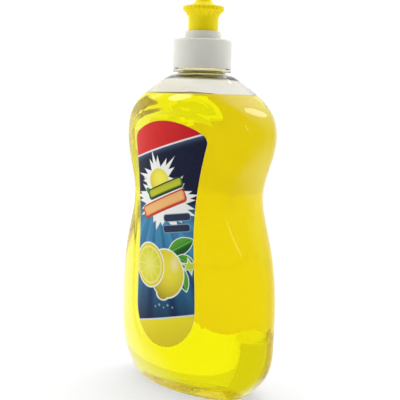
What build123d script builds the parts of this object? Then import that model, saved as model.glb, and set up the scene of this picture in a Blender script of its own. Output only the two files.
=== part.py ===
from build123d import *
import math
import os

# ---------------------------------------------------------------- driving dimensions, mm
# Blow-moulded body. The origin is the centre of the standing ring, +Z up, the front label on -Y.
body_height = 165.0          # standing face to the top of the shoulder
body_depth = 54.8            # over the front and back panels
foot_width = 68.4            # standing face
foot_depth = 37.2
waist_width = 64.6
waist_height = 106.0
hip_width = 95.6
hip_low = 28.0               # the hip is widest from here
hip_high = 48.0              # to here
thigh_width = 80.4           # between hip and waist
thigh_height = 78.0
chest_width = 84.0
chest_height = 137.0
heel_width = 91.2            # where the heel turns up into the hip
heel_height = 13.0
shoulder_width = 72.4        # where the chest starts to close in
shoulder_height = 147.0
arm_width = 50.0             # on the slope under the neck
arm_height = 156.0
top_width = 31.0             # the shoulder's end, under the neck
top_depth = 29.0
heel_round = 30.0            # height over which the panels tuck in to the foot
panel_end = 150.0            # the panels run straight up to here, then lean in

front_radius = 69.7          # plan radius of the front and back panels
side_radius = 95.3           # plan radius of the two sides
corner_radius = 15.0         # between panel and side
foot_corner = 11.0           # the same at the standing face
corner_limit = 0.97          # a corner takes up this much of the side at most
top_round = 18.0             # plan radius of all faces at the shoulder's end
top_corner = 13.0

wall = 0.6                   # blown wall
section_step = 5.5           # largest distance between two lofted sections

# Base
ring_width = 4.0             # standing ring
push_up = 5.0                # height of the hollow under the base
push_up_slope = 5.0          # how far the hollow's sides lean in

# Label panels and films
panel_recess = 0.5
panel_margin = 5.0           # recess edge beyond the label
label_film = 0.12
label_gap = 0.04             # adhesive
label_bottom = 25.6
label_hip = 20.2             # half widths, and heights above the standing face
label_waist = 18.7
label_waist_height = 90.0
label_chest = 24.0
label_chest_height = 134.0
label_top = 141.6
label_corner = 6.0           # radius of its two top corners

# Neck, 28 mm finish
neck_radius = 12.4
neck_wall = 1.65
neck_height = 15.5           # above the shoulder
support_overhang = 2.6
support_thickness = 1.6
support_clear = 1.2          # shoulder to the underside of the support ring
thread_pitch = 4.233
thread_turns = 1.5
thread_height = 1.25         # how far the neck's thread stands out
thread_root = 2.3            # thread width at its root and crest
thread_crest = 0.9
thread_clear = 0.3           # radial, and between the flanks
thread_lift = 3.6            # first turn's middle above the support ring

# Contents
fill_height = 155.2
liquid_gap = 0.02            # between liquid and wall, so that the two never share a face

# Screw closure
closure_wall = 1.05          # outside its thread
closure_bottom_gap = 0.4     # above the support ring
closure_deck = 1.5
closure_edge = 0.9           # rounding of the top edge
liner_thickness = 1.0
liner_set_back = 0.2         # from the neck's bore
liner_clear = 0.55           # from the closure's wall
collar_wall = 1.55
collar_height = 4.2
collar_step = 0.25           # the ring line on the collar
collar_step_height = 2.7

# Post inside the spout
post_radius = 5.6
post_wall = 1.4
post_height = 15.0           # above the deck
post_bead = 0.4
post_bead_height = 1.0
post_bead_drop = 1.6         # bead's top below the post's top
pin_radius = 1.7
spider_ribs = 3
rib_width = 1.2
rib_height = 3.0

# Pull spout
spout_clear = 0.25           # running clearance, spout on post and in collar
spout_wall = 1.5             # beside the post's bead
spout_lift = 0.5             # above the cup's floor when shut
spout_travel = 6.0
flange_overhang = 2.85       # beyond the spout's tube
flange_bottom = 14.8         # heights above the deck
flange_height = 2.1
flare_start = 10.6
spout_height = 21.8
tip_base = 7.0               # radius of the tip's cone on the flange
tip_radius = 3.9             # and of the straight nozzle above it
tip_length = 2.6
tip_edge = 0.5
orifice_clear = 0.25         # round the pin
orifice_land = 2.2
flutes = 30
flute_radius = 0.55
flute_depth = 0.35

# ---------------------------------------------------------------- derived sizes
neck_bore = neck_radius - neck_wall
neck_top = body_height + neck_height
support_radius = neck_radius + support_overhang
ring_bottom = body_height + support_clear
ring_top = ring_bottom + support_thickness
closure_bottom = ring_top + closure_bottom_gap
deck_under = neck_top + liner_thickness
deck_top = deck_under + closure_deck
thread_major = neck_radius + thread_height
closure_bore = thread_major + thread_clear
closure_radius = closure_bore + closure_wall
liner_radius = closure_bore - liner_clear
liner_bore = neck_bore + liner_set_back
thread_start = ring_top + thread_lift
thread_offset = (thread_root + thread_crest) / 2 + thread_clear
post_bore = post_radius - post_wall
lip_bore = post_radius + spout_clear
bead_radius = post_radius + post_bead
spout_bore = bead_radius + spout_clear
spout_radius = spout_bore + spout_wall
flange_radius = spout_radius + flange_overhang
collar_bore = spout_radius + spout_clear
collar_radius = collar_bore + collar_wall
orifice_radius = pin_radius + orifice_clear
panel_radius = front_radius - panel_recess
panel_axis = front_radius - body_depth / 2


def natural_spline(points):
    """A smooth curve through (height, half width) points, with free ends."""
    x = [p[0] for p in points]
    y = [p[1] for p in points]
    n = len(points)
    step = [x[i + 1] - x[i] for i in range(n - 1)]
    bend = [0.0] * n
    diagonal = [1.0] * n
    for i in range(1, n - 1):
        slope_change = (y[i + 1] - y[i]) / step[i] - (y[i] - y[i - 1]) / step[i - 1]
        lower = step[i - 1] / diagonal[i - 1] if i > 1 else 0.0
        diagonal[i] = 2 * (step[i - 1] + step[i]) - lower * step[i - 1]
        bend[i] = 6 * slope_change - lower * bend[i - 1]
    for i in range(n - 2, 0, -1):
        bend[i] = (bend[i] - step[i] * bend[i + 1]) / diagonal[i]

    def value(at):
        i = max(k for k in range(n - 1) if k == 0 or x[k] <= at)
        right = at - x[i]
        left = x[i + 1] - at
        h = step[i]
        cubic = (bend[i] * left**3 + bend[i + 1] * right**3) / (6 * h)
        linear = (y[i] / h - bend[i] * h / 6) * left + (y[i + 1] / h - bend[i + 1] * h / 6) * right
        return cubic + linear

    return value


half_width = natural_spline([
    (0.0, foot_width / 2),
    (heel_height, heel_width / 2),
    (hip_low, hip_width / 2),
    (hip_high, hip_width / 2),
    (thigh_height, thigh_width / 2),
    (waist_height, waist_width / 2),
    (chest_height, chest_width / 2),
    (shoulder_height, shoulder_width / 2),
    (arm_height, arm_width / 2),
    (body_height, top_width / 2),
])


def tuck(z):
    """0 along the straight panels, rising to 1 at the shoulder's end."""
    return (max(z - panel_end, 0) / (body_height - panel_end)) ** 2


def heel(z):
    """1 at the standing face, falling to 0 where the straight panels begin."""
    return (max(heel_round - z, 0) / heel_round) ** 2


def blend(straight, z, end, foot=None):
    """A size that holds along the panels and eases to other values at the shoulder's end and the foot."""
    size = straight + (end - straight) * tuck(z)
    if foot is not None:
        size += (foot - straight) * heel(z)
    return size


def half_depth(z):
    return blend(body_depth, z, top_depth, foot_depth) / 2


def body_section(z, inset=0.0, at=None):
    """The plan section at height z, pulled in by inset: eight tangent arcs."""
    a = half_width(z)
    b = half_depth(z)
    front = blend(front_radius, z, top_round)
    side = blend(side_radius, z, top_round)
    full = (2 * front * b - b**2 - a**2) / (2 * (front - a))  # the corner radius that uses up the side
    corner = min(blend(corner_radius, z, top_corner, foot_corner), corner_limit * full)
    a, b, front, side, corner = (size - inset for size in (a, b, front, side, corner))
    front_c = Vector(0, front - b)
    side_c = Vector(a - side, 0)
    reach = side_c - front_c
    along = ((front - corner) ** 2 - (side - corner) ** 2 + reach.length**2) / (2 * reach.length)
    across = math.sqrt((front - corner) ** 2 - along**2)
    unit = reach.normalized()
    corner_c = front_c + unit * along + Vector(-unit.Y, unit.X) * across
    from_front = (corner_c - front_c).normalized()
    from_side = (corner_c - side_c).normalized()
    j1 = front_c + from_front * front
    j2 = side_c + from_side * side
    mid = corner_c + (from_front + from_side).normalized() * corner
    x = [j1.X, mid.X, j2.X]
    y = [j1.Y, mid.Y, j2.Y]
    points = [(-x[0], y[0]), (0, -b), (x[0], y[0]), (x[1], y[1]), (x[2], y[2]), (a, 0),
              (x[2], -y[2]), (x[1], -y[1]), (x[0], -y[0]), (0, b), (-x[0], -y[0]), (-x[1], -y[1]),
              (-x[2], -y[2]), (-a, 0), (-x[2], y[2]), (-x[1], y[1]), (-x[0], y[0])]
    level = z if at is None else at
    points = [(px, py, level) for px, py in points]
    arcs = [ThreePointArc(*points[i:i + 3]) for i in range(0, 16, 2)]
    return Face(Wire(arcs))


def body_loft(bottom, top, inset=0.0):
    count = math.ceil((top - bottom) / section_step)
    heights = [bottom + (top - bottom) * i / count for i in range(count + 1)]
    return loft([body_section(z, inset) for z in heights])


def label_outline(grow=0.0):
    """The label's hourglass on the XZ plane, grown all round: a half circle under two waisted sides."""
    hip = label_hip + grow
    centre = label_bottom + label_hip
    waist = (label_waist + grow, label_waist_height)
    chest = (label_chest + grow, label_chest_height + grow)
    crown = label_top + grow
    foot = ThreePointArc((-hip, centre), (0, centre - hip), (hip, centre))
    right = Spline((hip, centre), waist, chest, tangents=[(0, 1), (0.25, 1)])
    top = ThreePointArc(chest, (0, crown), (-chest[0], chest[1]))
    left = mirror(right, Plane.YZ).edge()
    face = Face(Wire([foot, right, top, left]))
    corners = face.vertices().sort_by(Axis.Y)[-2:]
    return Plane.XZ * face.fillet_2d(label_corner + grow, corners)


def panel_prism(grow):
    """The outline run forward through the front wall."""
    return extrude(label_outline(grow), body_depth, dir=(0, -1, 0))


def panel_cylinder(radius):
    """The upright cylinder that the front panel's floor, the wall behind it and the film follow."""
    return Pos(0, panel_axis, body_height / 2) * Cylinder(radius, body_height)


def cut_panels(solid, inset=0.0):
    """Press the label panels into the front and back of a body, or of the space inside it."""
    front = panel_prism(panel_margin + inset) - panel_cylinder(panel_radius - inset)
    return solid - front - mirror(front, Plane.XZ)


def base_hollow(grow=0.0):
    low = body_section(0, ring_width - grow, at=0)
    high = body_section(0, ring_width + push_up_slope - grow, at=push_up + grow)
    return loft([low, high], ruled=True)


def inner_space(inset):
    """Everything inside the blown wall, up to the neck."""
    space = body_loft(inset, body_height - inset, inset)
    return cut_panels(space, inset) - base_hollow(inset)


def revolved(points):
    """A ring with the given (radius, height) outline."""
    outline = Polyline(*[(r, 0, z) for r, z in points], close=True)
    return revolve(Face(Wire(outline)), Axis.Z)


def rod(radius, bottom, top):
    return Pos(0, 0, (bottom + top) / 2) * Cylinder(radius, top - bottom)


def thread(radius, height, start):
    """A trapezoid bead on a right-handed helix. A negative height points inwards."""
    path = Helix(thread_pitch, thread_pitch * thread_turns, radius)
    sunk = math.copysign(0.2, height)
    plane = Plane(origin=path @ 0, x_dir=(1, 0, 0), z_dir=path % 0)
    outline = Polyline((-sunk, -thread_root / 2), (height, -thread_crest / 2), (height, thread_crest / 2),
                       (-sunk, thread_root / 2), close=True)
    return Pos(0, 0, start) * sweep(plane * Face(Wire(outline)), path=path, is_frenet=True)


def make_bottle():
    body = cut_panels(body_loft(0, body_height)) - base_hollow()
    soft = support_thickness / 4
    neck = revolved([
        (neck_bore, body_height - wall - 1),
        (neck_radius, body_height - wall - 1),
        (neck_radius, ring_bottom),
        (support_radius - soft, ring_bottom),
        (support_radius, ring_bottom + soft),
        (support_radius, ring_top - soft),
        (support_radius - soft, ring_top),
        (neck_radius, ring_top),
        (neck_radius, neck_top),
        (neck_bore, neck_top),
    ])
    bore = rod(neck_bore, body_height / 2, neck_top)
    return body - inner_space(wall) - bore + neck + thread(neck_radius, thread_height, thread_start)


def make_detergent():
    below = Pos(0, 0, fill_height / 2) * Box(2 * hip_width, 2 * body_depth, fill_height)
    return inner_space(wall + liquid_gap) & below


def make_label():
    film = panel_cylinder(panel_radius + label_gap + label_film) - panel_cylinder(panel_radius + label_gap)
    return panel_prism(0) & film


def make_liner():
    return rod(liner_radius, neck_top, deck_under) - rod(liner_bore, neck_top, deck_under)


def make_closure():
    post_top = deck_top + post_height
    bead_top = post_top - post_bead_drop
    shell = revolved([
        (closure_bore, closure_bottom),
        (closure_radius, closure_bottom),
        (closure_radius, deck_top - closure_edge),
        (closure_radius - closure_edge * 0.3, deck_top - closure_edge * 0.3),
        (closure_radius - closure_edge, deck_top),
        (collar_radius, deck_top),
        (collar_radius, deck_top + collar_step_height),
        (collar_radius - collar_step, deck_top + collar_step_height),
        (collar_radius - collar_step, deck_top + collar_height),
        (collar_bore, deck_top + collar_height),
        (collar_bore, deck_top),
        (post_radius, deck_top),
        (post_radius, bead_top - post_bead_height - post_bead),
        (bead_radius, bead_top - post_bead_height),
        (bead_radius, bead_top - post_bead),
        (post_radius, bead_top),
        (post_radius, post_top),
        (post_bore, post_top),
        (post_bore, deck_under),
        (closure_bore, deck_under),
    ])
    pin_top = deck_top + spout_height - pin_radius / 4
    pin = rod(pin_radius, post_top - rib_height, pin_top)
    reach = (post_radius + post_bore) / 2
    rib = Pos(reach / 2, 0, post_top - rib_height / 2) * Box(reach, rib_width, rib_height)
    ribs = [Rot(0, 0, 360 / spider_ribs * i) * rib for i in range(spider_ribs)]
    female = thread(closure_bore, -thread_height, thread_start - thread_offset)
    return shell + pin + ribs + female


def make_spout():
    rise = flange_bottom - flare_start
    lip_top = post_height - post_bead_drop - post_bead_height - post_bead - spout_travel
    cone_bottom = post_height + spout_clear
    land = spout_height - orifice_land
    outline = [
        (lip_bore, spout_lift),
        (spout_radius, spout_lift),
        (spout_radius, flare_start),
        (spout_radius + (flange_radius - spout_radius) * 0.3, flare_start + rise * 0.55),
        (flange_radius, flange_bottom),
        (flange_radius, flange_bottom + flange_height * 0.7),
        (flange_radius - flange_height * 0.3, flange_bottom + flange_height),
        (tip_base, flange_bottom + flange_height),
        (tip_radius + tip_edge, spout_height - tip_length),
        (tip_radius, spout_height - tip_length + tip_edge),
        (tip_radius, spout_height - tip_edge),
        (tip_radius - tip_edge, spout_height),
        (orifice_radius, spout_height),
        (orifice_radius, land),
        (spout_bore, cone_bottom),
        (spout_bore, lip_top),
        (lip_bore, lip_top - post_bead),
    ]
    body = revolved([(r, deck_top + z) for r, z in outline])
    groove = rod(flute_radius, deck_top + flare_start, deck_top + flange_bottom + flange_height)
    place = Pos(flange_radius + flute_radius - flute_depth, 0, 0)
    grooves = [Rot(0, 0, 360 / flutes * i) * place * groove for i in range(flutes)]
    return body - grooves


def main():
    label = make_label()
    parts = {
        "bottle": make_bottle(),
        "detergent": make_detergent(),
        "front_label": label,
        "back_label": mirror(label, Plane.XZ),
        "closure_liner": make_liner(),
        "screw_closure": make_closure(),
        "pull_spout": make_spout(),
    }
    os.makedirs("parts", exist_ok=True)
    for name, shape in parts.items():
        export_step(shape, "parts/" + name + ".step")
        print(name, round(shape.volume / 1000, 2), "ml")


main()
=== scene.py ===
import math

import bpy
import numpy as np
from mathutils import Matrix, Vector


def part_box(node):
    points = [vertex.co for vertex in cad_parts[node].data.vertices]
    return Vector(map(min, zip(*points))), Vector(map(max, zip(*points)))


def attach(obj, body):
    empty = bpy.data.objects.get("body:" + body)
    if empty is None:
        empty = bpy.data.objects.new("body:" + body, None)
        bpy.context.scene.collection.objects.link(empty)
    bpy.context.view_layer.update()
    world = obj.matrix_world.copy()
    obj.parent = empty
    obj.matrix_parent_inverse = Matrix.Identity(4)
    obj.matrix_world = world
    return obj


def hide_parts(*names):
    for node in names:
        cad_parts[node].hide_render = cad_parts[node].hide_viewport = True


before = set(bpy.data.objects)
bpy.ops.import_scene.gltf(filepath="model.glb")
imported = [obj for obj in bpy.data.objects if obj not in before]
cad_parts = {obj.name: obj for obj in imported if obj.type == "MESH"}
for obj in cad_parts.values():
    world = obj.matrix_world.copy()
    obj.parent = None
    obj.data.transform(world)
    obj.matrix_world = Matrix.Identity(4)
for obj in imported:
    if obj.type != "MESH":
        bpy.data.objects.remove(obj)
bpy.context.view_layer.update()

mm = 0.001


class Val:
    # wraps a socket so that plain arithmetic adds the Math nodes
    def __init__(self, sheet, socket):
        self.sheet = sheet
        self.socket = socket

    def math(self, operation, *terms, clamp=False):
        settings = {"operation": operation, "use_clamp": clamp}
        return self.sheet.add("ShaderNodeMath", settings, dict(enumerate(terms)))

    def __add__(self, other):
        return self.math("ADD", self, other)

    def __sub__(self, other):
        return self.math("SUBTRACT", self, other)

    def __mul__(self, other):
        return self.math("MULTIPLY", self, other)

    def __truediv__(self, other):
        return self.math("DIVIDE", self, other)

    def __pow__(self, other):
        return self.math("POWER", self, other)

    def __rsub__(self, other):
        return self.math("SUBTRACT", other, self)

    def __neg__(self):
        return self.math("MULTIPLY", self, -1)

    __radd__ = __add__
    __rmul__ = __mul__

    def least(self, other):
        return self.math("MINIMUM", self, other)

    def most(self, other):
        return self.math("MAXIMUM", self, other)

    def clamped(self):
        return self.math("ADD", self, 0, clamp=True)


class Sheet:
    # one node tree: a new material's, or the room's
    def __init__(self, name, room=None):
        self.material = room or bpy.data.materials.new(name)
        self.material.use_nodes = True
        self.tree = self.material.node_tree
        self.tree.nodes.clear()
        self.output = self.tree.nodes.new("ShaderNodeOutputWorld" if room else "ShaderNodeOutputMaterial")

    def add(self, kind, settings=None, sockets=None, out=0):
        node = self.tree.nodes.new(kind)
        for name, value in (settings or {}).items():
            if name == "stops":
                self.setStops(node.color_ramp, value)
            else:
                setattr(node, name, value)
        for key, value in (sockets or {}).items():
            self.feed(node.inputs[key], value)
        return Val(self, node.outputs[out])

    def setStops(self, ramp, stops):
        while len(ramp.elements) > 1:
            ramp.elements.remove(ramp.elements[-1])
        for i, (place, colour) in enumerate(stops):
            spot = ramp.elements[0] if i == 0 else ramp.elements.new(place)
            spot.position = place
            spot.color = (*colour, 1)

    def feed(self, socket, value):
        if isinstance(value, Val):
            self.tree.links.new(value.socket, socket)
        elif isinstance(value, (tuple, list)) and socket.type == "RGBA":
            socket.default_value = (*value, 1) if len(value) == 3 else value
        else:
            socket.default_value = value

    def math(self, operation, first, second=0):
        return self.add("ShaderNodeMath", {"operation": operation}, {0: first, 1: second})

    def place(self):
        # x, y and z on the object, in millimetres
        spot = self.add("ShaderNodeTexCoord", out="Object")
        split = self.add("ShaderNodeSeparateXYZ", sockets={0: spot}).socket.node
        return [Val(self, axis) * 1000 for axis in split.outputs]

    def noise(self, scale, detail, stretch=(1, 1, 1)):
        spot = self.add("ShaderNodeTexCoord", out="Object")
        spot = self.add("ShaderNodeMapping", sockets={"Vector": spot, "Scale": stretch})
        return self.add("ShaderNodeTexNoise", sockets={"Vector": spot, "Scale": scale, "Detail": detail})

    def mix(self, factor, under, over):
        # colours: under where factor is 0, over where it is 1
        settings = {"data_type": "RGBA", "blend_type": "MIX"}
        return self.add("ShaderNodeMix", settings, {0: factor, 6: under, 7: over}, out=2)

    def bump(self, height, distance, strength):
        sockets = {"Height": height, "Distance": distance, "Strength": strength}
        return self.add("ShaderNodeBump", sockets=sockets)

    def surface(self, **sockets):
        # socket names are written without their spaces
        shader = self.add("ShaderNodeBsdfPrincipled")
        for socket in shader.socket.node.inputs:
            name = socket.name.replace(" ", "")
            if name in sockets:
                self.feed(socket, sockets.pop(name))
        assert not sockets, sockets
        self.tree.links.new(shader.socket, self.output.inputs["Surface"])
        return self.material

    def absorb(self, colour, density):
        volume = self.add("ShaderNodeVolumeAbsorption", sockets={"Color": colour, "Density": density})
        self.tree.links.new(volume.socket, self.output.inputs["Volume"])


# mesh help

def smoothStep(t):
    t = np.clip(t, 0, 1)
    return t * t * (3 - 2 * t)


def splineThrough(points, slopes=(None, None)):
    # a cubic spline through (place, value) points, with free ends or the given end slopes
    x, y = np.array(points, float).T
    n = len(x)
    h = np.diff(x)
    a = np.zeros((n, n))
    r = np.zeros(n)
    for i in range(1, n - 1):
        a[i, i - 1:i + 2] = h[i], 2 * (h[i] + h[i - 1]), h[i - 1]
        r[i] = 3 * (h[i] * (y[i] - y[i - 1]) / h[i - 1] + h[i - 1] * (y[i + 1] - y[i]) / h[i])
    for end, near, slope in ((0, 1, slopes[0]), (n - 1, n - 2, slopes[1])):
        if slope is None:
            a[end, end], a[end, near] = 2, 1
            r[end] = 3 * (y[near] - y[end]) / (x[near] - x[end])
        else:
            a[end, end], r[end] = 1, slope
    m = np.linalg.solve(a, r)

    def value(at):
        at = np.asarray(at, float)
        i = np.clip(np.searchsorted(x, at) - 1, 0, n - 2)
        t = (at - x[i]) / h[i]
        lift = y[i] * (1 + 2 * t) * (1 - t) ** 2 + y[i + 1] * t * t * (3 - 2 * t)
        return lift + h[i] * (m[i] * t * (1 - t) ** 2 - m[i + 1] * t * t * (1 - t))

    return value


def newPiece(name, verts, faces, materials, faceMaterial=None):
    mesh = bpy.data.meshes.new(name)
    mesh.from_pydata([tuple(v) for v in np.asarray(verts) * mm], [], faces)
    for material in materials:
        mesh.materials.append(material)
    mesh.polygons.foreach_set("use_smooth", [True] * len(mesh.polygons))
    if faceMaterial is not None:
        mesh.polygons.foreach_set("material_index", faceMaterial)
    mesh.validate()
    mesh.update()
    piece = bpy.data.objects.new(name, mesh)
    bpy.context.scene.collection.objects.link(piece)
    return piece


def skin(rings, poles=(None, None)):
    # a tube of quads through closed rings of points, in millimetres, with an optional pole at each end
    count = len(rings[0])
    verts = [point for ring in rings for point in ring]
    faces = []
    for row in range(len(rings) - 1):
        a, b = row * count, (row + 1) * count
        for i in range(count):
            j = (i + 1) % count
            faces.append((a + i, a + j, b + j, b + i))
    for pole, row, turn in ((poles[0], 0, 1), (poles[1], len(rings) - 1, -1)):
        if pole is None:
            continue
        tip, a = len(verts), row * count
        verts.append(pole)
        for i in range(count):
            faces.append((tip, a + (i + 1) % count, a + i)[::turn])
    return verts, faces


def joined(*shapes):
    verts, faces = [], []
    for shapeVerts, shapeFaces in shapes:
        base = len(verts)
        verts += list(shapeVerts)
        faces += [tuple(base + i for i in face) for face in shapeFaces]
    return verts, faces


def bend(start, corner, end, steps):
    # a round corner from start to end, tangent to both legs
    back, on = start - corner, end - corner
    cosine = back @ on / (np.linalg.norm(back) * np.linalg.norm(on))
    weight = math.sqrt(max(0, (1 - cosine) / 2))
    t = np.linspace(0, 1, steps + 1)[:, None]
    shares = (1 - t) ** 2, 2 * t * (1 - t) * weight, t * t
    return (shares[0] * start + shares[1] * corner + shares[2] * end) / sum(shares)


def rounded(points, closed=True, steps=5):
    # replaces each (radius, height, rounding) corner by an arc; points without a rounding stay sharp
    done = []
    count = len(points)
    for i, point in enumerate(points):
        here = np.array(point[:2], float)
        size = point[2] if len(point) > 2 else 0
        if size <= 0 or (not closed and i in (0, count - 1)):
            done.append(here)
            continue
        back = np.array(points[i - 1][:2], float) - here
        on = np.array(points[(i + 1) % count][:2], float) - here
        backUnit, onUnit = back / np.linalg.norm(back), on / np.linalg.norm(on)
        half = math.acos(np.clip(backUnit @ onUnit, -1, 1)) / 2
        reach = min(size / math.tan(half), 0.49 * np.linalg.norm(back), 0.49 * np.linalg.norm(on))
        done += list(bend(here + backUnit * reach, here, here + onUnit * reach, steps))
    return np.array(done)


def spread(points, longest, closed=True):
    # adds points so that no run is longer than the given length
    done = []
    count = len(points)
    for i in range(count if closed else count - 1):
        a, b = points[i], points[(i + 1) % count]
        parts = max(1, math.ceil(np.linalg.norm(b - a) / longest))
        done += [a + (b - a) * k / parts for k in range(parts)]
    if not closed:
        done.append(points[-1])
    return np.array(done)


def lathe(outline, turns=128, radiusAt=None):
    # turns a closed outline of (radius, height) points about the axis
    angles = np.arange(turns) * 2 * math.pi / turns
    rings = []
    for r, z in outline:
        radius = radiusAt(r, z, angles) if radiusAt else np.full(turns, r)
        rings.append(np.column_stack([radius * np.cos(angles), radius * np.sin(angles),
                                      np.full(turns, z)]))
    verts, faces = skin(rings + [rings[0]])
    last = len(outline) * turns
    faces = [tuple(i - last if i >= last else i for i in face) for face in faces]
    return verts[:last], faces


def helixBead(radius, height, start, pitch, turns, root, crest, perTurn=96):
    # a thread: a trapezoid that follows a right-handed helix and runs out to nothing at both ends
    count = int(turns * perTurn)
    fade = perTurn * 0.12  # the steps that the bead takes to rise at each end
    ease = 0.12            # softens the crest's two edges
    sink = -0.15 * math.copysign(1, height)
    rings = []
    for k in range(count + 1):
        angle = 2 * math.pi * k / perTurn
        top = height * float(smoothStep(min(k, count - k) / fade))
        outline = [(sink, -root / 2), (top * 0.85, -crest / 2 - ease), (top, -crest / 2 + ease),
                   (top, crest / 2 - ease), (top * 0.85, crest / 2 + ease), (sink, root / 2)]
        z = start + pitch * k / perTurn
        rings.append([((radius + u) * math.cos(angle), (radius + u) * math.sin(angle), z + v)
                      for u, v in outline])
    ends = [np.mean(rings[0], axis=0), np.mean(rings[-1], axis=0)]
    return skin(rings, ends)


# the blown body, in millimetres as the CAD has it
body = {
    "height": 165.0, "depth": 54.8,
    "widths": [(0, 68.4), (13, 91.2), (28, 95.6), (48, 95.6), (78, 80.4), (106, 64.6), (137, 84.0),
               (147, 72.4), (156, 50.0), (165, 31.0)],
    "footDepth": 37.2, "topDepth": 29.0, "heelRound": 30.0, "panelEnd": 150.0,
    "frontRadius": 69.7, "sideRadius": 95.3, "cornerRadius": 15.0, "footCorner": 11.0,
    "topRound": 18.0, "topCorner": 13.0, "wall": 0.6,
    "ringWidth": 4.0, "pushUp": 5.0, "pushUpSlope": 5.0, "pushUpCrown": 0.6,
    "panelRecess": 0.5, "panelMargin": 5.0, "panelEdge": 0.7,
    "columns": (44, 22, 14), "rows": 110, "innerRows": 68,
}
halfWidth = splineThrough([(z, w / 2) for z, w in body["widths"]])


def eased(straight, z, end, foot=None):
    tuck = (np.maximum(z - body["panelEnd"], 0) / (body["height"] - body["panelEnd"])) ** 2
    size = straight + (end - straight) * tuck
    if foot is not None:
        size = size + (foot - straight) * (np.maximum(body["heelRound"] - z, 0) / body["heelRound"]) ** 2
    return size


def bodySection(z, inset=0.0):
    # the plan section at height z as a ring of points: eight tangent arcs, pulled in by inset
    a = float(halfWidth(z)) - inset
    b = eased(body["depth"], z, body["topDepth"], body["footDepth"]) / 2 - inset
    front = eased(body["frontRadius"], z, body["topRound"]) - inset
    side = eased(body["sideRadius"], z, body["topRound"]) - inset
    corner = eased(body["cornerRadius"], z, body["topCorner"], body["footCorner"]) - inset
    frontCentre, sideCentre = np.array([0, front - b]), np.array([a - side, 0])
    reach = sideCentre - frontCentre
    length = np.linalg.norm(reach)
    along = ((front - corner) ** 2 - (side - corner) ** 2 + length ** 2) / (2 * length)
    across = math.sqrt((front - corner) ** 2 - along ** 2)
    unit = reach / length
    centre = frontCentre + unit * along + np.array([-unit[1], unit[0]]) * across
    turnFront = math.atan2(*(centre - frontCentre)[::-1])
    turnSide = math.atan2(*(centre - sideCentre)[::-1])
    quarter = []
    spans = ((frontCentre, front, -math.pi / 2, turnFront), (centre, corner, turnFront, turnSide),
             (sideCentre, side, turnSide, 0))
    for (middle, radius, start, end), count in zip(spans, body["columns"]):
        angles = start + (end - start) * np.arange(count) / count
        quarter.append(middle + radius * np.column_stack([np.cos(angles), np.sin(angles)]))
    quarter = np.vstack(quarter + [[[a, 0]]])
    flip = quarter[::-1]
    ring = np.vstack([quarter, flip[1:] * (1, -1), quarter[1:] * (-1, -1), flip[1:-1] * (-1, 1)])
    return np.column_stack([ring, np.full(len(ring), z)])


# the printed films; half widths of the hourglass at three heights
label = {
    "bottom": 25.6, "hip": 20.2, "waist": 18.7, "waistHeight": 90.0,
    "chest": 25.0, "chestHeight": 133.6, "top": 141.6, "corner": 4.5, "cornerReach": 0.69,
    "sunk": 0.03, "proud": 0.1, "rows": 150, "columns": 48, "glow": 0.67,
}


def labelOutline(grow=0.0):
    # right half of the hourglass, from its lowest point up to its highest, as (x, z)
    hip = label["hip"] + grow
    centre = label["bottom"] + label["hip"]
    chest = np.array([label["chest"] + grow, label["chestHeight"] + grow])
    crown = label["top"] + grow
    angles = np.linspace(-math.pi / 2, 0, 40)
    foot = np.column_stack([hip * np.cos(angles), centre + hip * np.sin(angles)])
    waist = label["waistHeight"], label["waist"] + grow
    side = splineThrough([(centre, hip), waist, chest[::-1]], (0, 0.25))
    z = np.linspace(centre, chest[1], 80)[1:]
    flank = np.column_stack([side(z), z])
    rise = crown - chest[1]
    radius = (chest[0] ** 2 + rise ** 2) / (2 * rise)
    x = np.linspace(chest[0], 0, 50)[1:]
    arch = np.column_stack([x, crown - radius + np.sqrt(radius ** 2 - x ** 2)])
    reach = (label["corner"] + grow) * label["cornerReach"]
    before = flank[np.linalg.norm(flank - chest, axis=1) > reach]
    after = arch[np.linalg.norm(arch - chest, axis=1) > reach]
    return np.vstack([foot, before, bend(before[-1], chest, after[0], 12)[1:-1], after])


def insideOutline(points, outline):
    # distance of (x, z) points from a mirrored outline, positive inside
    flat = np.column_stack([np.abs(points[:, 0]), points[:, 1]])
    a, b = outline[:-1], outline[1:]
    step = b - a
    best = np.full(len(flat), 1e9)
    for start, run in zip(a, step):
        t = np.clip((flat - start) @ run / (run @ run), 0, 1)
        best = np.minimum(best, np.linalg.norm(flat - start - t[:, None] * run, axis=1))
    order = outline[np.argsort(outline[:, 1], kind="stable")]
    width = np.interp(flat[:, 1], order[:, 1], order[:, 0], left=-1, right=-1)
    return np.where(flat[:, 0] < width, best, -best)


panelAxis = body["frontRadius"] - body["depth"] / 2
panelOutline = labelOutline(body["panelMargin"])


def pressPanels(points, inset=0.0):
    # presses the label panels into front and back, as far as the cylinder that the labels lie on
    sign = np.sign(points[:, 1])
    y = -np.abs(points[:, 1]) - panelAxis
    radius = np.hypot(points[:, 0], y)
    floor = body["frontRadius"] - body["panelRecess"] - inset
    depth = smoothStep(insideOutline(points[:, [0, 2]], panelOutline) / (2 * body["panelEdge"]) + 0.5)
    pressed = radius - depth * np.maximum(radius - floor, 0)
    share = pressed / radius
    return np.column_stack([points[:, 0] * share, -sign * (y * share + panelAxis), points[:, 2]])


def wallRings(heights, inset):
    rings = np.array([bodySection(z, inset) for z in heights])
    return list(pressPanels(rings.reshape(-1, 3), inset).reshape(rings.shape))


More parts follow.
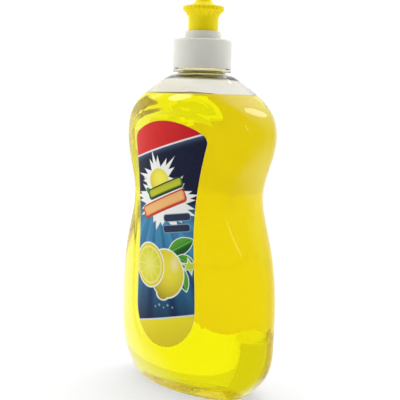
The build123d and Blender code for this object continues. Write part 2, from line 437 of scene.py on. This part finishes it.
def baseRings(inset):
    # from the middle of the hollow under the base out to the standing ring
    far = body["ringWidth"] + body["pushUpSlope"]
    top = body["pushUp"] + inset
    crown = body["pushUpCrown"]
    flat = bodySection(0, far - inset)
    rings = []
    for share in (0.12, 0.3, 0.5, 0.7, 0.85, 0.94):
        rings.append(flat * (share, share, 0) + (0, 0, top + crown * (1 - share ** 2)))
    drop = rounded([(far - inset + 1.5, top), (far - inset, top, 2.2),
                    (body["ringWidth"] - inset, inset, 1.0), (1.2, inset)], closed=False)
    for reach, z in drop[1:-1]:
        rings.append(bodySection(0, max(reach, 0)) * (1, 1, 0) + (0, 0, z))
    return rings, (0, 0, top + crown)


def heelRings(inset):
    # the rounded edge between the standing ring and the wall
    soft = [(0, 1.0, 0), (1.1, 0.62, 0.12), (1.1, 0.2, 0.5)]
    return [bodySection(z, inset + pulled) * (1, 1, 0) + (0, 0, inset + lift) for z, pulled, lift in soft]


neck = {
    "radius": 12.4, "bore": 10.75, "ring": 15.0, "ringBottom": 166.2, "ringTop": 167.8,
    "threadHeight": 1.25, "pitch": 4.233, "turns": 1.5, "threadLift": 3.6, "root": 2.3, "crest": 0.9,
}
neck["top"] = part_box("bottle")[1].z / mm


def makeBottle(materials):
    under, pole = baseRings(0)
    heights = np.linspace(1.1, body["height"] - 0.4, body["rows"])
    rings = under + heelRings(0) + wallRings(heights, 0)
    top = rings[-1]
    angles = np.arctan2(top[:, 1], top[:, 0])
    inner = body["wall"]

    def circles(points):
        unit = np.column_stack([np.cos(angles), np.sin(angles), np.zeros(len(angles))])
        return [unit * r + (0, 0, z) for r, z in points]

    # out of the shoulder, round the support ring, up over the mouth and back down the bore
    outline = [(14.2, 165.0), (13.4, 165.25, 0.5), (neck["radius"], 165.6, 0.5),
               (neck["radius"], neck["ringBottom"], 0.25), (neck["ring"], neck["ringBottom"], 0.45),
               (neck["ring"], neck["ringTop"], 0.45), (neck["radius"], neck["ringTop"], 0.3),
               (neck["radius"], neck["top"], 0.3), (neck["bore"], neck["top"], 0.3),
               (neck["bore"], 166.6, 1.2), (12.6, 164.6, 0.8), (14.0, 164.3)]
    rings += circles(spread(rounded(outline, closed=False), 1.6, closed=False))
    innerStart = len(rings)
    heights = np.linspace(body["height"] - inner - 0.3, inner + 1.2, body["innerRows"])
    rings += wallRings(heights, inner)
    floor, floorPole = baseRings(inner)
    rings += heelRings(inner)[::-1] + floor[::-1]
    shell = skin(rings, (pole, floorPole))
    start = neck["ringTop"] + neck["threadLift"]
    bead = helixBead(neck["radius"], neck["threadHeight"], start, neck["pitch"], neck["turns"],
                     neck["root"], neck["crest"])
    verts, faces = joined(shell, bead)
    # material 0 is the outer skin and the dry inside, 1 the wetted inside, 2 the thick neck
    height = np.array([verts[face[0]][2] for face in faces])
    row = np.array([face[0] // len(top) for face in faces])
    inside = (row >= innerStart) & (row < len(rings)) & (height < liquid["fill"] + 0.3)
    inside[-len(bead[1]):] = False
    inside[-len(bead[1]) - len(top):-len(bead[1])] = True
    finish = np.where(inside, 1, np.where(height > body["height"] + 0.3, 2, 0))
    piece = newPiece("squeezeBottle", verts, faces, materials, [int(i) for i in finish])
    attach(piece, "bottle")
    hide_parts("bottle")


liquid = {
    "fill": 155.2, "lap": 0.03, "meniscus": 1.3, "meniscusReach": 0.9, "rows": 120,
    "index": 1.38, "colour": (0.9905, 0.985, 0.05), "density": 150.0,
}


def makeLiquid(material):
    # stands a hair inside the wall, so that light passes from one to the other with no air between
    inset = body["wall"] - liquid["lap"]
    floor, pole = baseRings(inset)
    heights = np.linspace(inset + 1.2, liquid["fill"], liquid["rows"])
    rings = floor + heelRings(inset) + wallRings(heights, inset)
    rim = rings[-1]
    reach = np.linalg.norm(rim[:, :2], axis=1)[:, None]
    for distance in (0.15, 0.35, 0.7, 1.2, 2.0, 3.4, 6.0):
        level = liquid["fill"] - liquid["meniscus"] * (1 - math.exp(-distance / liquid["meniscusReach"]))
        share = (reach - distance) / reach
        rings.append(np.column_stack([rim[:, :2] * share, np.full(len(rim), level)]))
    level = liquid["fill"] - liquid["meniscus"]
    inner = rings[-1]
    for share in (0.7, 0.35):
        rings.append(np.column_stack([inner[:, :2] * share, np.full(len(rim), level)]))
    verts, faces = skin(rings, (pole, (0, 0, level)))
    piece = newPiece("lemonDetergent", verts, faces, [material])
    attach(piece, "bottle")
    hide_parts("detergent")


def makeLabel(name, node, side, face, back):
    # a printed film on the panel: print outside, adhesive inside, bonded to the wall
    outline = labelOutline()
    outline = outline[np.argsort(outline[:, 1], kind="stable")]
    steps = (1 - np.cos(np.linspace(0, math.pi, label["rows"]))) / 2
    z = label["bottom"] + (label["top"] - label["bottom"]) * steps
    width = np.interp(z, outline[:, 1], outline[:, 0])
    width[[0, -1]] = 0.02
    across = np.linspace(-1, 1, label["columns"] + 1)
    panel = body["frontRadius"] - body["panelRecess"]
    verts = []
    for radius in (panel + label["proud"], panel - label["sunk"]):
        for height, half in zip(z, width):
            x = across * half
            y = -(np.sqrt(radius ** 2 - x ** 2) - panelAxis)
            verts += [(u, v, height) for u, v in zip(x, y)]
    count = label["columns"] + 1
    sheet = count * label["rows"]
    faces, finish = [], []
    for row in range(label["rows"] - 1):
        for column in range(label["columns"]):
            a = row * count + column
            quad = (a, a + 1, a + count + 1, a + count)
            faces += [quad, tuple(i + sheet for i in quad[::-1])]
            finish += [0, 1]
    rim = list(range(count)) + [row * count + count - 1 for row in range(1, label["rows"])]
    rim += [sheet - 1 - i for i in range(1, count)]
    rim += [row * count for row in range(label["rows"] - 2, 0, -1)]
    for a, b in zip(rim, rim[1:] + rim[:1]):
        faces.append((a, a + sheet, b + sheet, b))
        finish.append(1)
    verts = np.array(verts) * (1, -side, 1)
    if side > 0:
        faces = [face[::-1] for face in faces]
    piece = newPiece(name, verts, faces, [face, back], finish)
    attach(piece, "bottle")
    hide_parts(node)


closure = {
    "bottom": 168.2, "radius": 15.0, "bore": 13.95, "deckUnder": 181.5, "deck": 183.0, "edge": 0.9,
    "collar": 9.55, "collarBore": 8.0, "collarHeight": 4.2, "step": 0.25, "stepHeight": 2.7,
    "post": 5.6, "postBore": 4.2, "postTop": 198.0, "bead": 0.4, "beadHeight": 1.0, "beadDrop": 1.6,
    "pin": 1.7, "pinTop": 204.375, "ribs": 3, "ribWidth": 1.2, "ribHeight": 3.0, "threadStart": 169.5,
    "turns": 144,
}


def makeClosure(material):
    c = closure
    deck, edge = c["deck"], c["edge"]
    bead = c["postTop"] - c["beadDrop"]
    outline = [(c["bore"], c["bottom"], 0.15), (c["radius"], c["bottom"], 0.25),
               (c["radius"], deck, edge), (c["collar"], deck, 0.3),
               (c["collar"], deck + c["stepHeight"], 0.1),
               (c["collar"] - c["step"], deck + c["stepHeight"], 0.1),
               (c["collar"] - c["step"], deck + c["collarHeight"], 0.55),
               (c["collarBore"], deck + c["collarHeight"], 0.3), (c["collarBore"], deck, 0.2),
               (c["post"], deck, 0.2), (c["post"], bead - c["beadHeight"] - c["bead"]),
               (c["post"] + c["bead"], bead - c["beadHeight"], 0.15),
               (c["post"] + c["bead"], bead - c["bead"], 0.15), (c["post"], bead),
               (c["post"], c["postTop"], 0.3), (c["postBore"], c["postTop"], 0.2),
               (c["postBore"], c["deckUnder"], 0.2), (c["bore"], c["deckUnder"], 0.3)]
    shell = lathe(spread(rounded(outline), 1.4), c["turns"])
    pinLow = c["postTop"] - c["ribHeight"]
    pin = lathe(rounded([(0.01, pinLow), (c["pin"], pinLow, 0.2),
                         (c["pin"], c["pinTop"], 0.5), (0.01, c["pinTop"])]), 48)
    thread = helixBead(c["bore"], -neck["threadHeight"], c["threadStart"], neck["pitch"], neck["turns"],
                       neck["root"], neck["crest"])
    thread = thread[0], [face[::-1] for face in thread[1]]
    ribs = []
    half = c["ribWidth"] / 2
    edge = 0.2
    top, low = c["postTop"] - 0.05, c["postTop"] - c["ribHeight"]
    section = [(-half, low + edge), (-half + edge, low), (half - edge, low), (half, low + edge),
               (half, top - edge), (half - edge, top), (-half + edge, top), (-half, top - edge)]
    for i in range(c["ribs"]):
        turn = 2 * math.pi * i / c["ribs"]
        cosine, sine = math.cos(turn), math.sin(turn)
        rings = [[(u * cosine - v * sine, u * sine + v * cosine, w) for v, w in section]
                 for u in np.linspace(c["pin"] * 0.6, (c["post"] + c["postBore"]) / 2, 6)]
        ribs.append(skin(rings, (np.mean(rings[0], axis=0), np.mean(rings[-1], axis=0))))
    piece = newPiece("screwClosure", *joined(shell, pin, thread, *ribs), [material])
    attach(piece, "closure")
    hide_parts("screw_closure")


spout = {
    "radius": 7.75, "lip": 5.85, "bore": 6.25, "lift": 0.5, "flare": 10.6, "flangeBottom": 14.8,
    "flangeHeight": 2.1, "flange": 10.6, "height": 21.8, "tipBase": 7.0, "tip": 3.9, "tipLength": 2.6,
    "orifice": 1.95, "land": 2.2, "coneBottom": 15.25, "lipTop": 6.0, "lipStep": 0.4,
    "flutes": 30, "fluteDepth": 0.35, "turns": 360,
}


def makeSpout(material):
    s = spout
    base = closure["deck"]
    top = base + s["height"]
    rise = s["flangeBottom"] - s["flare"]
    flange = s["flangeBottom"] + s["flangeHeight"]
    widen = s["flange"] - s["radius"]
    curve = splineThrough([(0, s["radius"]), (0.55, s["radius"] + widen * 0.32), (1, s["flange"])],
                          (0, widen * 1.9))
    flare = [(float(curve(t)), base + s["flare"] + rise * t) for t in np.linspace(0, 1, 14)]
    flare[-1] = (*flare[-1], 0.35)
    outline = [(s["lip"], base + s["lift"], 0.15), (s["radius"], base + s["lift"], 0.35), *flare,
               (s["flange"], base + flange, 0.75), (s["tipBase"], base + flange, 0.5),
               (s["tip"] + 0.35, top - s["tipLength"], 0.9), (s["tip"] - 0.1, top, 0.6),
               (s["orifice"], top, 0.25), (s["orifice"], top - s["land"], 0.2),
               (s["bore"], base + s["coneBottom"], 0.3), (s["bore"], base + s["lipTop"], 0.2),
               (s["lip"], base + s["lipTop"] - s["lipStep"], 0.2)]
    low, high = base + s["flare"] + 0.5, base + flange

    def fluted(r, z, angles):
        # moulded grooves that run out at the foot of the flare and over the flange's edge
        if r < s["radius"] + 0.01 or z > high + 0.01:
            return np.full(len(angles), r)
        wave = np.maximum(np.cos(angles * s["flutes"]), 0) ** 1.5
        depth = s["fluteDepth"] * smoothStep((z - low) / (0.5 * rise)) * smoothStep((high - z) / 0.35)
        return r - depth * wave

    verts, faces = lathe(spread(rounded(outline), 0.7), s["turns"], fluted)
    piece = newPiece("pullSpout", verts, faces, [material])
    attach(piece, "spout")
    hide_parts("pull_spout")


# finishes; the prints are drawn in millimetres across and up the panel

def ink(red, green, blue):
    # a screen colour of 0 to 255 as the shader's linear colour
    return tuple(((c / 255 + 0.055) / 1.055) ** 2.4 if c > 10 else c / 3294.6 for c in (red, green, blue))


def reachFrom(x, z, cx, cz, rx, rz):
    # distance from a centre, in shares of the two radii
    u, v = (x - cx) / rx, (z - cz) / rz
    return (u * u + v * v) ** 0.5


def polar(sheet, x, z, cx, cz, rx, rz):
    # the same, and the angle
    u, v = (x - cx) / rx, (z - cz) / rz
    return (u * u + v * v) ** 0.5, sheet.math("ARCTAN2", v, u)


def fill(distance, soft=0.3):
    # 1 inside a shape whose distance from the edge is positive
    return (distance / soft + 0.5).clamped()


def oval(x, z, cx, cz, rx, rz):
    return (1 - reachFrom(x, z, cx, cz, rx, rz)) * min(rx, rz)


def turned(x, z, cx, cz, slope):
    # coordinates along and across a slanted line through a centre
    length = math.hypot(1, slope)
    along = ((x - cx) + (z - cz) * slope) / length
    across = ((z - cz) - (x - cx) * slope) / length
    return along, across


def burst(sheet, x, z, cx, cz, rx, rz, points, inner, lean):
    # a star of straight points
    reach, angle = polar(sheet, x, z, cx, cz, rx, rz)
    half = math.pi / points
    folded = sheet.math("PINGPONG", angle + lean, half)
    dip, out = inner * math.sin(half), 1 - inner * math.cos(half)
    across = reach * sheet.math("COSINE", folded) * dip + reach * sheet.math("SINE", folded) * out
    return (dip - across) * (min(rx, rz) / math.hypot(dip, out))


def plate(sheet, along, across, half, thick, corner=1.3):
    # a bar with rounded corners
    past = (sheet.math("ABSOLUTE", along) - (half - corner)).most(0)
    over = (sheet.math("ABSOLUTE", across) - (thick - corner)).most(0)
    return corner - (past * past + over * over) ** 0.5


def leaf(sheet, x, z, start, end, width):
    # two arcs that meet in a point at each end
    cx, cz = (start[0] + end[0]) / 2, (start[1] + end[1]) / 2
    half = math.dist(start, end) / 2
    unit = (end[0] - start[0]) / (2 * half), (end[1] - start[1]) / (2 * half)
    along = (x - cx) * unit[0] + (z - cz) * unit[1]
    across = (z - cz) * unit[0] - (x - cx) * unit[1]
    radius = (half ** 2 + width ** 2) / (2 * width)
    away = sheet.math("ABSOLUTE", across) + (radius - width)
    return radius - (along * along + away * away) ** 0.5, across


def fieldOfRays(sheet, x, z):
    # navy, with lighter rays that fan down from the sun
    angle = sheet.math("ARCTAN2", x + 5, 106 - z)
    rays = sheet.math("SINE", angle * 21) * 0.3 + sheet.math("SINE", angle * 47 + 1) * 0.14 + 0.5
    light = ((102 - z) / 12).clamped() * ((z - 34) / 36).clamped()
    blue = sheet.mix(rays.clamped(), ink(14, 66, 112), ink(58, 140, 186))
    blue = sheet.mix(((z - 62) / 36).clamped() * 0.5, blue, ink(84, 168, 206))
    return sheet.mix(light, ink(20, 27, 58), blue)


def topBand(sheet, x, z, under):
    height = (z - 129 - x * 0.308) / 1.046
    glow = (1 + height / 4).clamped() ** 2 * 0.42
    field = sheet.mix(glow, under, ink(120, 150, 190))
    red = sheet.mix(((x + 22) / 44).clamped(), ink(224, 40, 30), ink(206, 10, 28))
    field = sheet.mix(fill(height + 0.5), field, ink(236, 238, 240))
    return sheet.mix(fill(height - 0.3), field, red)


def lemonArt(sheet, x, z, field):
    white = ink(240, 244, 236)
    leaves = ((4, 75), (18.5, 83.5), 3.9), ((10, 74), (19.5, 70), 3.2), ((11, 70), (15.5, 57), 2.9)
    for start, end, width in leaves:
        shape, across = leaf(sheet, x, z, start, end, width)
        green = sheet.mix((across * 0.3 + 0.5).clamped(), ink(16, 92, 34), ink(84, 166, 44))
        vein = fill(0.3 - sheet.math("ABSOLUTE", across))
        green = sheet.mix(vein * 0.6, green, ink(130, 205, 110))
        field = sheet.mix(fill(shape + 0.45), field, white)
        field = sheet.mix(fill(shape), field, green)
    bud = burst(sheet, x, z, 17.0, 70, 4.4, 3.6, 6, 0.42, 0.3)
    field = sheet.mix(fill(bud), sheet.mix(fill(bud + 0.4), field, white), ink(190, 215, 70))
    # the whole lemon, lit from the upper right
    shape = oval(x, z, 2.5, 64.3, 11, 12.2).most(oval(x, z, 0.5, 53.0, 3.4, 2.4))
    reach = reachFrom(x, z, 5.5, 67.5, 15.5, 16.5)
    peel = sheet.mix((reach ** 2.2).clamped(), ink(240, 226, 60), ink(176, 156, 10))
    gloss = reachFrom(x, z, 8.2, 70, 3.4, 5.6)
    peel = sheet.mix(((1 - gloss) * 1.3).clamped() * 0.62, peel, ink(248, 236, 190))
    field = sheet.mix(fill(shape + 0.7), field, white)
    field = sheet.mix(fill(shape), field, peel)
    # the cut half: peel, pith and ten segments
    reach, angle = polar(sheet, x, z, -9.5, 67, 10.4, 11.2)
    wall = sheet.math("PINGPONG", angle * (10 / (2 * math.pi)), 0.5)
    ring = fill((0.8 - reach) * 10, 0.5)
    flesh = ring * fill(wall * reach * 11 - 0.42, 0.4) * fill((reach - 0.1) * 10, 0.5)
    juice = sheet.mix((reach * 1.2).clamped(), ink(240, 238, 110), ink(222, 216, 34))
    face = sheet.mix(flesh, ink(238, 234, 130), juice)
    face = sheet.mix(fill((reach - 0.9) * 10), face, ink(226, 206, 20))
    field = sheet.mix(fill((1.07 - reach) * 10), field, white)
    return sheet.mix(fill((1 - reach) * 10), field, face)


def sunArt(sheet, x, z, field):
    white = ink(244, 246, 240)
    star = burst(sheet, x, z, -3.7, 111.3, 16.5, 16.5, 6, 0.26, 0.15)
    star = star.most(burst(sheet, x, z, -3.7, 111.3, 12.8, 12.8, 12, 0.56, 0.42))
    wide = burst(sheet, x, z, 0.0, 101.5, 22.0, 16.0, 9, 0.46, 0.4)
    wide = wide.most(burst(sheet, x, z, 0.0, 101.5, 19.5, 13.0, 18, 0.72, 0.2))
    field = sheet.mix(fill(star.most(wide)), field, white)
    reach = reachFrom(x, z, -2.5, 112.5, 8.4, 7.8)
    disc = sheet.mix((reach ** 2).clamped(), ink(250, 240, 90), ink(226, 200, 12))
    field = sheet.mix(fill(oval(x, z, -3.5, 111.3, 6.8, 6.2)), field, disc)
    shape = leaf(sheet, x, z, (-13.5, 106.5), (-8.5, 103.5), 1.5)[0]
    field = sheet.mix(fill(shape), field, ink(40, 150, 50))
    bars = ((0.4, 107.6, 0.42, 11.6, 2.1, ink(24, 76, 36), ink(196, 200, 44)),
            (-0.5, 99.6, 0.44, 14.8, 2.7, ink(206, 52, 30), ink(246, 190, 120)))
    for cx, cz, slope, half, thick, edge, middle in bars:
        along, across = turned(x, z, cx, cz, slope)
        room = plate(sheet, along, across, half, thick)
        field = sheet.mix(fill(room + 0.75), field, edge)
        shade = sheet.mix((across / thick * 0.5 + 0.5).clamped(), edge, middle)
        field = sheet.mix(fill(room), field, shade)
        field = sheet.mix(fill(room - 0.8, 0.8), field, middle)
    for cz in (93.8, 88.2):
        along, across = turned(x, z, 8.6, cz, 0.16)
        room = plate(sheet, along, across, 8.0, 1.7)
        field = sheet.mix(fill(room + 0.35) * 0.85, field, ink(150, 165, 180))
        field = sheet.mix(fill(room), field, ink(44, 56, 84))
    return field


def bottomBand(sheet, x, z, field):
    height = (z - 40.4 - x * 0.257) / 1.03
    yellow = sheet.mix(((z - 26) / 16).clamped(), ink(224, 204, 16), ink(240, 226, 30))
    drops = (-4.2, 46.0, 0.55), (-1.4, 47.3, 0.7), (1.6, 46.4, 0.5), (4.3, 48.0, 0.65), (7.4, 47.4, 0.5)
    for cx, cz, size in drops:
        drop = fill(oval(x, z, cx, cz, size, size)) * 0.7
        field = sheet.mix(drop, field, ink(150, 190, 215))
    field = sheet.mix(fill(0.35 - height), field, ink(214, 222, 224))
    return sheet.mix(fill(-height - 0.35), field, yellow)


def printed(sheet, art):
    grain = sheet.noise(900, 3)
    cloud = sheet.noise(35, 2)
    colour = sheet.mix(grain * 0.02, art, (0.6, 0.6, 0.6))
    pull = sheet.bump(cloud, 0.0001, 0.4)
    return sheet.surface(BaseColor=colour, Roughness=cloud * 0.1 + 0.3, SpecularIORLevel=0.15,
                         CoatWeight=cloud * 0.06 + 0.02, CoatRoughness=0.12, Normal=pull)


def frontPrint():
    sheet = Sheet("frontPrint")
    x, y, z = sheet.place()
    art = topBand(sheet, x, z, fieldOfRays(sheet, x, z))
    art = lemonArt(sheet, x, z, sunArt(sheet, x, z, art))
    return printed(sheet, bottomBand(sheet, x, z, art))


def plainPanel(sheet, x, z):
    # how far a point lies inside the pale panel on the back, and the wave that its ruled lines follow
    inside = (16 - sheet.math("ABSOLUTE", x)).least(26 - sheet.math("ABSOLUTE", z - 88))
    return inside, sheet.math("PINGPONG", z, 2.6)


def backPrint():
    # the same colours, round a plain pale panel with ruled lines
    sheet = Sheet("backPrint")
    x, y, z = sheet.place()
    x = -x
    art = topBand(sheet, x, z, fieldOfRays(sheet, x, z))
    room, rules = plainPanel(sheet, x, z)
    art = sheet.mix(fill(room + 0.5), art, ink(214, 222, 224))
    art = sheet.mix(fill(room), art, ink(243, 242, 232))
    rule = fill(0.3 - rules) * fill(room - 3)
    art = sheet.mix(rule * 0.55, art, ink(60, 76, 110))
    reach, angle = polar(sheet, x, z, 0, 51, 5.4, 5.8)
    wall = sheet.math("PINGPONG", angle * (8 / (2 * math.pi)), 0.5)
    flesh = fill((0.8 - reach) * 6, 0.5) * fill(wall * reach * 6 - 0.3)
    slice = sheet.mix(flesh, ink(246, 243, 196), ink(228, 214, 40))
    art = sheet.mix(fill((1.1 - reach) * 5), art, ink(236, 214, 24))
    art = sheet.mix(fill((1 - reach) * 5), art, slice)
    return printed(sheet, bottomBand(sheet, x, z, art))


def adhesive(name, ruled):
    # the label's other side, seen through the contents, with a painted glow for the daylight that comes
    # through the print, and painted shade from any ruled lines
    sheet = Sheet(name)
    x, y, z = sheet.place()
    cloud = sheet.noise(60, 3)
    fine = sheet.noise(500, 2)
    colour = sheet.mix(cloud * 0.6 + fine * 0.4, (0.9, 0.74, 0.5), (0.97, 0.82, 0.58))
    # painted backlight: the adhesive glows as if daylight came through the print, dimmed as painted shade
    # under the print's dark top
    paintedBacklight = sheet.mix(cloud, (1.0, 0.84, 0.2), (1.0, 0.9, 0.26))
    paintedBacklight = sheet.mix(((z - 103) / 3).clamped() * 0.14, paintedBacklight, (0.1, 0.04, 0.01))
    if ruled:
        room, rules = plainPanel(sheet, x, z)
        rule = fill(0.5 - rules, 0.7) * fill(room - 3, 0.6) * 0.12
        edge = fill(1 - sheet.math("ABSOLUTE", room), 1.4) * 0.1
        # painted shade of the ruled lines and the panel's edge in the glow
        paintedBacklight = sheet.mix(rule + edge, paintedBacklight, (0.35, 0.22, 0.02))
    return sheet.surface(BaseColor=colour, Roughness=cloud * 0.2 + 0.5, EmissionColor=paintedBacklight,
                         EmissionStrength=label["glow"], Normal=sheet.bump(fine, 0.00001, 0.5))


# the wall's tint, and its gloss, which is 0 where the wall is wetted and nothing is reflected head-on
pets = {
    "clearPet": ((0.975, 0.97, 0.945), 1.0),
    "wettedPet": ((0.99, 0.985, 0.97), 0.0),
    "neckPet": ((0.99, 0.975, 0.74), 1.0),
}


def clearPet(name):
    tint, gloss = pets[name]
    sheet = Sheet(name)
    haze = sheet.noise(45, 2)
    sway = sheet.noise(22, 2, stretch=(1, 1, 0.6))
    colour = sheet.mix(haze, tint, [c ** 0.5 for c in tint])
    return sheet.surface(BaseColor=colour, Roughness=haze * 0.02, IOR=1.57, TransmissionWeight=1.0,
                         SpecularTint=(gloss, gloss, gloss), Normal=sheet.bump(sway, 0.0006, 0.5))


def lemonDetergent():
    sheet = Sheet("lemonDetergent")
    cloud = sheet.noise(25, 2)
    colour = sheet.mix(cloud, (0.985, 0.985, 0.96), (1.0, 1.0, 0.985))
    sheet.surface(BaseColor=colour, Roughness=cloud * 0.01, IOR=liquid["index"], TransmissionWeight=1.0,
                  SpecularTint=(0.0, 0.0, 0.0), Normal=sheet.bump(cloud, 0.0001, 0.3))
    sheet.absorb(liquid["colour"], liquid["density"])
    return sheet.material


# each moulding's two colours, and how far light is carried inside it, in millimetres
plastics = {
    "whitePolypropylene": {
        "low": (0.78, 0.775, 0.70), "high": (0.84, 0.835, 0.765), "roughness": 0.32, "gloss": 0.3,
        "scatter": 0.08, "reach": (1.4, 1.3, 1.1), "grain": 0.00003,
    },
    "yellowPolyethylene": {
        "low": (0.97, 0.74, 0.003), "high": (0.99, 0.81, 0.005), "roughness": 0.34, "gloss": 0.12,
        "scatter": 0.3, "reach": (2.2, 1.4, 0.05), "grain": 0.00003,
    },
}


def mouldedPlastic(name):
    # injection-moulded: a fine skin, faint flow marks and a little light carried inside
    p = plastics[name]
    sheet = Sheet(name)
    cloud = sheet.noise(90, 3)
    grain = sheet.noise(2600, 2)
    flow = sheet.noise(120, 2, stretch=(1, 1, 0.25))
    rough = cloud * 0.14 + grain * 0.06 + p["roughness"]
    return sheet.surface(BaseColor=sheet.mix(cloud, p["low"], p["high"]), Roughness=rough,
                         SpecularIORLevel=p["gloss"], SubsurfaceWeight=p["scatter"],
                         SubsurfaceRadius=p["reach"], SubsurfaceScale=mm,
                         Normal=sheet.bump(grain * 0.4 + flow, p["grain"], 0.5))


def foamLiner():
    sheet = Sheet("foamLiner")
    cells = sheet.noise(3200, 2)
    cloud = sheet.noise(200, 2)
    colour = sheet.mix(cloud * 0.5 + cells * 0.5, (0.72, 0.73, 0.71), (0.86, 0.86, 0.84))
    return sheet.surface(BaseColor=colour, Roughness=cells * 0.2 + 0.65,
                         Normal=sheet.bump(cells, 0.00006, 0.7))


def paleFloor():
    sheet = Sheet("paleFloor")
    cloud = sheet.noise(3, 2)
    grain = sheet.noise(300, 2)
    colour = sheet.mix(cloud, (0.36, 0.36, 0.36), (0.4, 0.4, 0.4))
    return sheet.surface(BaseColor=colour, Roughness=grain * 0.1 + 0.7, EmissionColor=(1.0, 1.0, 1.0),
                         EmissionStrength=studio["floorGlow"], Normal=sheet.bump(grain, 0.00002, 0.3))


# camera, light and floor: where the camera stands, in millimetres and degrees
camera = {
    "azimuth": 41.05, "distance": 423.04, "height": 154.46, "yaw": -0.10, "pitch": -7.39, "roll": 1.54,
    "lens": 72.48, "sensor": 36.0,
}


def makeCamera():
    c = camera
    azimuth = math.radians(c["azimuth"])
    yaw, pitch, roll = (math.radians(c[k]) for k in ("yaw", "pitch", "roll"))
    ahead = Vector((-math.sin(azimuth + yaw), math.cos(azimuth + yaw), 0))
    side = Vector((ahead.y, -ahead.x, 0))
    up = Vector((0, 0, 1))
    forward = ahead * math.cos(pitch) + up * math.sin(pitch)
    upright = up * math.cos(pitch) - ahead * math.sin(pitch)
    right = side * math.cos(roll) + upright * math.sin(roll)
    top = upright * math.cos(roll) - side * math.sin(roll)
    lens = bpy.data.cameras.new("camera")
    lens.lens, lens.sensor_width = c["lens"], c["sensor"]
    eye = bpy.data.objects.new("camera", lens)
    x, y = c["distance"] * math.sin(azimuth), -c["distance"] * math.cos(azimuth)
    spot = Vector((x, y, c["height"])) * mm
    eye.matrix_world = Matrix.Translation(spot) @ Matrix((right, top, -forward)).transposed().to_4x4()
    bpy.context.scene.collection.objects.link(eye)
    bpy.context.scene.camera = eye


# the room's light by what a ray is doing, then each lamp: name, place, size, strength, whether it lights
# the object or only shines in it
studio = {
    "bright": 1.04, "daylight": 1.95, "dim": 0.15, "through": 0.9, "mirrored": 0.1,
    "floorGlow": 0.53, "floorSize": 6.0, "feather": (1.0, 0.84, 0.68, 0.52, 0.36, 0.2),
    "lights": [("leftSoftbox", (-520, -260, 420), (120, 200), 6.0, False),
               ("rightSoftbox", (620, 60, 380), (70, 220), 6.0, False),
               ("backSoftbox", (60, 560, 570), (150, 150), 9.0, False),
               ("frontSoftbox", (-336, -485, 535), (225, 500), 18.0, False),
               ("topSoftbox", (40, 160, 760), (500, 500), 1.3, True)],
}


def makeStudio():
    # a white room that is greyer behind the camera; what is seen through the bottle stays white
    world = bpy.data.worlds.new("studio")
    bpy.context.scene.world = world
    sheet = Sheet("studio", world)
    azimuth = math.radians(camera["azimuth"])
    toCamera = (math.sin(azimuth + 0.1), -math.cos(azimuth + 0.1), 0.1)
    ray = sheet.add("ShaderNodeTexCoord", out="Generated")
    facing = sheet.add("ShaderNodeVectorMath", {"operation": "DOT_PRODUCT"}, {0: ray, 1: toCamera},
                       out="Value")
    seen = sheet.add("ShaderNodeLightPath", out="Is Camera Ray")
    through = sheet.add("ShaderNodeLightPath", out="Is Transmission Ray")
    mirrored = sheet.add("ShaderNodeLightPath", out="Is Glossy Ray")
    bright = studio["bright"]
    lit = studio["daylight"] - ((facing + 0.05) / 0.7).clamped() * (studio["daylight"] - studio["dim"])
    gloss = bright - ((facing + 0.65) / 0.6).clamped() * (bright - studio["mirrored"])
    strength = lit + mirrored * (gloss - lit)
    strength = strength + through * (studio["through"] - strength)
    strength = strength + seen * (bright - strength)
    back = sheet.add("ShaderNodeBackground", sockets={"Color": (1.0, 1.0, 1.0), "Strength": strength})
    sheet.tree.links.new(back.socket, sheet.output.inputs["Surface"])
    for name, spot, size, strength, lights in studio["lights"]:
        # a lamp that shines is a nest of ovals, so that its reflection fades at the edge
        for share in (1.0,) if lights else studio["feather"]:
            lamp = bpy.data.lights.new(name, "AREA")
            lamp.shape = "ELLIPSE"
            lamp.size, lamp.size_y = size[0] * share * mm, size[1] * share * mm
            # watts that give this many times the room's white
            lamp.energy = strength * math.pi * lamp.size * lamp.size_y
            lamp.energy *= 1 if lights else 1 / len(studio["feather"])
            holder = bpy.data.objects.new(name, lamp)
            holder.location = Vector(spot) * mm
            aim = Vector((0, 0, 90)) * mm - holder.location
            holder.rotation_euler = aim.to_track_quat("-Z", "Y").to_euler()
            holder.visible_camera = holder.visible_transmission = False
            holder.visible_diffuse = lights
            holder.visible_glossy = not lights
            bpy.context.scene.collection.objects.link(holder)


def makeFloor():
    size = studio["floorSize"] / mm / 2
    steps = np.linspace(-size, size, 13)
    verts = [(x, y, -0.05) for y in steps for x in steps]
    count = len(steps)
    faces = [(r * count + c, r * count + c + 1, (r + 1) * count + c + 1, (r + 1) * count + c)
             for r in range(count - 1) for c in range(count - 1)]
    floor = newPiece("paleFloor", verts, faces, [paleFloor()])
    floor.visible_glossy = False


view = bpy.context.scene.view_settings
view.view_transform = "Standard"
view.look = "None"
view.exposure, view.gamma = 0, 1
cycles = bpy.context.scene.cycles
# light turns many times inside the wall before it leaves
cycles.max_bounces, cycles.transmission_bounces, cycles.transparent_max_bounces = 72, 64, 16
cycles.glossy_bounces = 24
cycles.volume_bounces = 0

makeCamera()
makeStudio()
makeFloor()
print("camera, light and floor are in place")

makeBottle([clearPet(name) for name in pets])
print("bottle blown")
makeLiquid(lemonDetergent())
print("bottle filled")
makeLabel("frontLabel", "front_label", -1, frontPrint(), adhesive("frontAdhesive", False))
makeLabel("backLabel", "back_label", 1, backPrint(), adhesive("backAdhesive", True))
print("labels on")
makeClosure(mouldedPlastic("whitePolypropylene"))
makeSpout(mouldedPlastic("yellowPolyethylene"))
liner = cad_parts["closure_liner"]
for socket in liner.material_slots:
    socket.material = foamLiner()
print("closure, liner and spout fitted")
